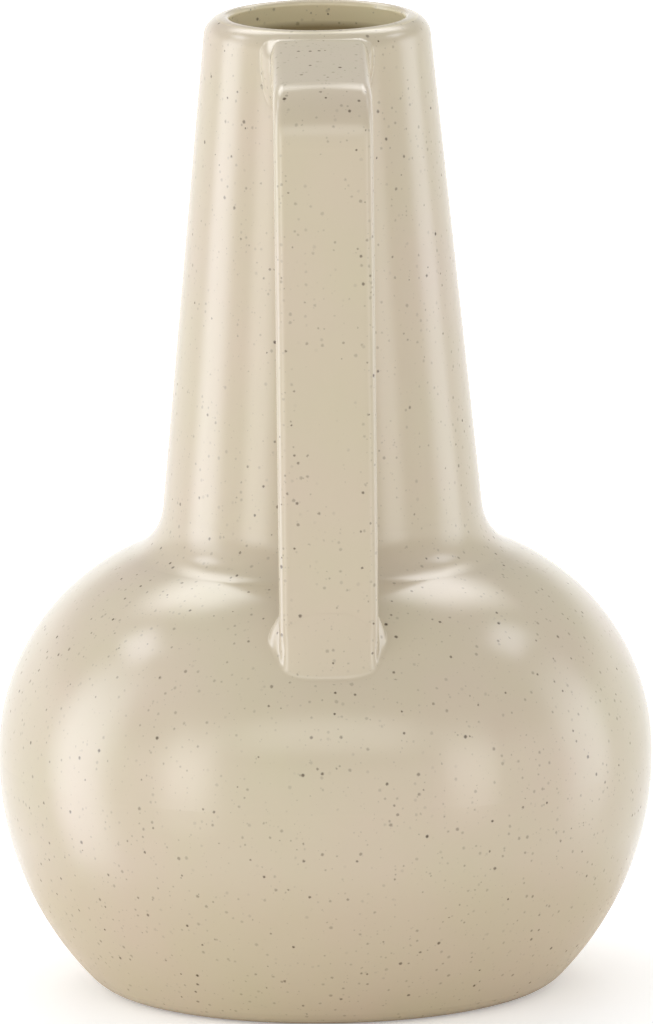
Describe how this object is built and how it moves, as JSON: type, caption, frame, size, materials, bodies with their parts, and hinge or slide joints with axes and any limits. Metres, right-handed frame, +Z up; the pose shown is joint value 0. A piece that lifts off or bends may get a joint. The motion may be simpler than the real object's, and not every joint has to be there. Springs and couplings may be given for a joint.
{
  "type": "bottle vase",
  "caption": "Round-bellied stoneware bottle vase with a tall tapered neck, a rolled lip and a flat strap handle from the lip to the shoulder.",
  "frame": {"origin": "centre of the foot, on the surface that the vase stands on", "axes": "+Z up along the axis of the globe and neck; the handle is on the -Y side; +X to the right when the handle faces the viewer"},
  "size_m": [0.16, 0.16, 0.24],
  "materials": {
    "glaze": "glossy sand-coloured glaze with fine dark brown speckles"
  },
  "bodies": {
    "root": {"globe_body": "glaze", "neck": "glaze", "neck_root_slip": "glaze", "handle": "glaze", "handle_top_slip": "glaze", "handle_foot_slip": "glaze"}
  },
  "joints": []
}
